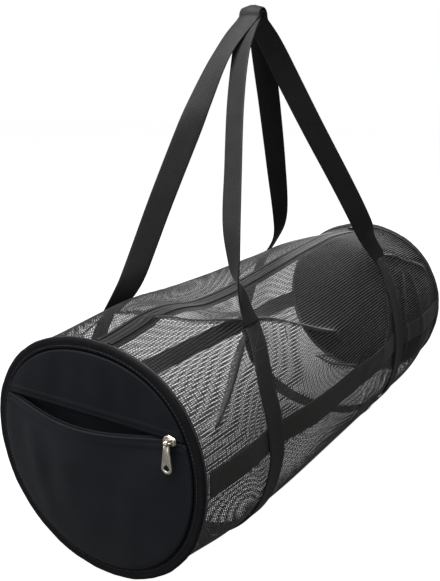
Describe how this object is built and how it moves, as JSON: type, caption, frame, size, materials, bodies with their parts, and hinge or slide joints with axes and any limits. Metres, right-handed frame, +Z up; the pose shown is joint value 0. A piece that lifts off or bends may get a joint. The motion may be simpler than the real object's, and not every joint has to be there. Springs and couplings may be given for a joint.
{
  "type": "mesh duffel gear bag",
  "caption": "Round mesh duffel gear bag with cloth ends, a zipped end pocket, a top zip and long webbing handles held up together.",
  "frame": {"origin": "the hang point: centre of the bend at the top of the two handles, where a hook or hand passes", "axes": "+X along the barrel away from the pocket end, -Y the front side, +Z up"},
  "size_m": [0.6469, 0.2533, 0.5352],
  "materials": {
    "net": "open polyester net, satin threads",
    "panel_cloth": "matt blue-black coated pack cloth",
    "binding": "matt woven binding tape",
    "webbing": "flat woven webbing, slight sheen",
    "side_webbing": "matt woven webbing, grey-olive black",
    "zip_nylon": "nylon zip tape and coil",
    "nickel": "polished nickel, warm"
  },
  "bodies": {
    "bag": {"net_front": "net", "net_bottom": "net", "net_back": "net", "main_zip_tape": "zip_nylon", "main_zip_coil": "zip_nylon", "main_zip_hem_front": "zip_nylon", "main_zip_hem_back": "zip_nylon", "main_zip_slider": "zip_nylon", "end_panel_near": "panel_cloth", "end_panel_far": "panel_cloth", "rim_binding_near": "binding", "rim_binding_far": "binding", "pocket_front": "panel_cloth", "pocket_top": "panel_cloth", "pocket_zip_tape_upper": "zip_nylon", "pocket_zip_tape_lower": "zip_nylon", "pocket_slider": "nickel", "girth_band_near": "webbing", "girth_band_far": "webbing", "side_band_front": "side_webbing", "side_band_back": "side_webbing", "handle_front": "webbing", "handle_back": "webbing"},
    "pull": {"pocket_pull": "nickel"}
  },
  "joints": [
    {"name": "pull_swing", "type": "hinge", "parent": "bag", "child": "pull", "pos_m": [-0.2824, -0.086, -0.354], "axis": [0, 1, 0], "range_deg": [0, 150]}
  ]
}
